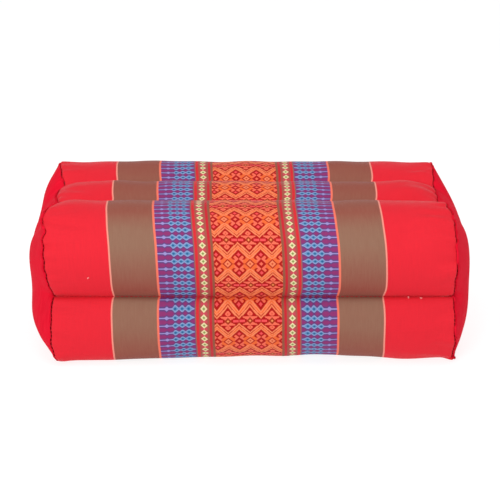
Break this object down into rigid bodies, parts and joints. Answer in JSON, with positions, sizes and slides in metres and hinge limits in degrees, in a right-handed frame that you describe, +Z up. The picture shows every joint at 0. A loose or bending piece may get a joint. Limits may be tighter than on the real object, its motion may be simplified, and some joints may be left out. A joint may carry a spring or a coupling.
{
  "type": "zafu",
  "caption": "Block-shaped filled cushion for sitting in meditation, a woven wrap sewn into channels with crowned plain end panels.",
  "frame": {"origin": "centre of the bounding box in X and Y, on the face the cushion rests on", "axes": "+X along the cushion from the left end panel to the right one, +Y from front to back, +Z up"},
  "size_m": [0.357, 0.1856, 0.1245],
  "materials": {
    "woven_wrap": "matt woven cotton in stripes and charted bands of red, olive, violet and orange",
    "plain_red_cotton": "matt plain-woven cotton, red"
  },
  "bodies": {
    "root": {"wrap_body": "woven_wrap", "end_panel_left": "plain_red_cotton", "end_panel_right": "plain_red_cotton"}
  },
  "joints": []
}
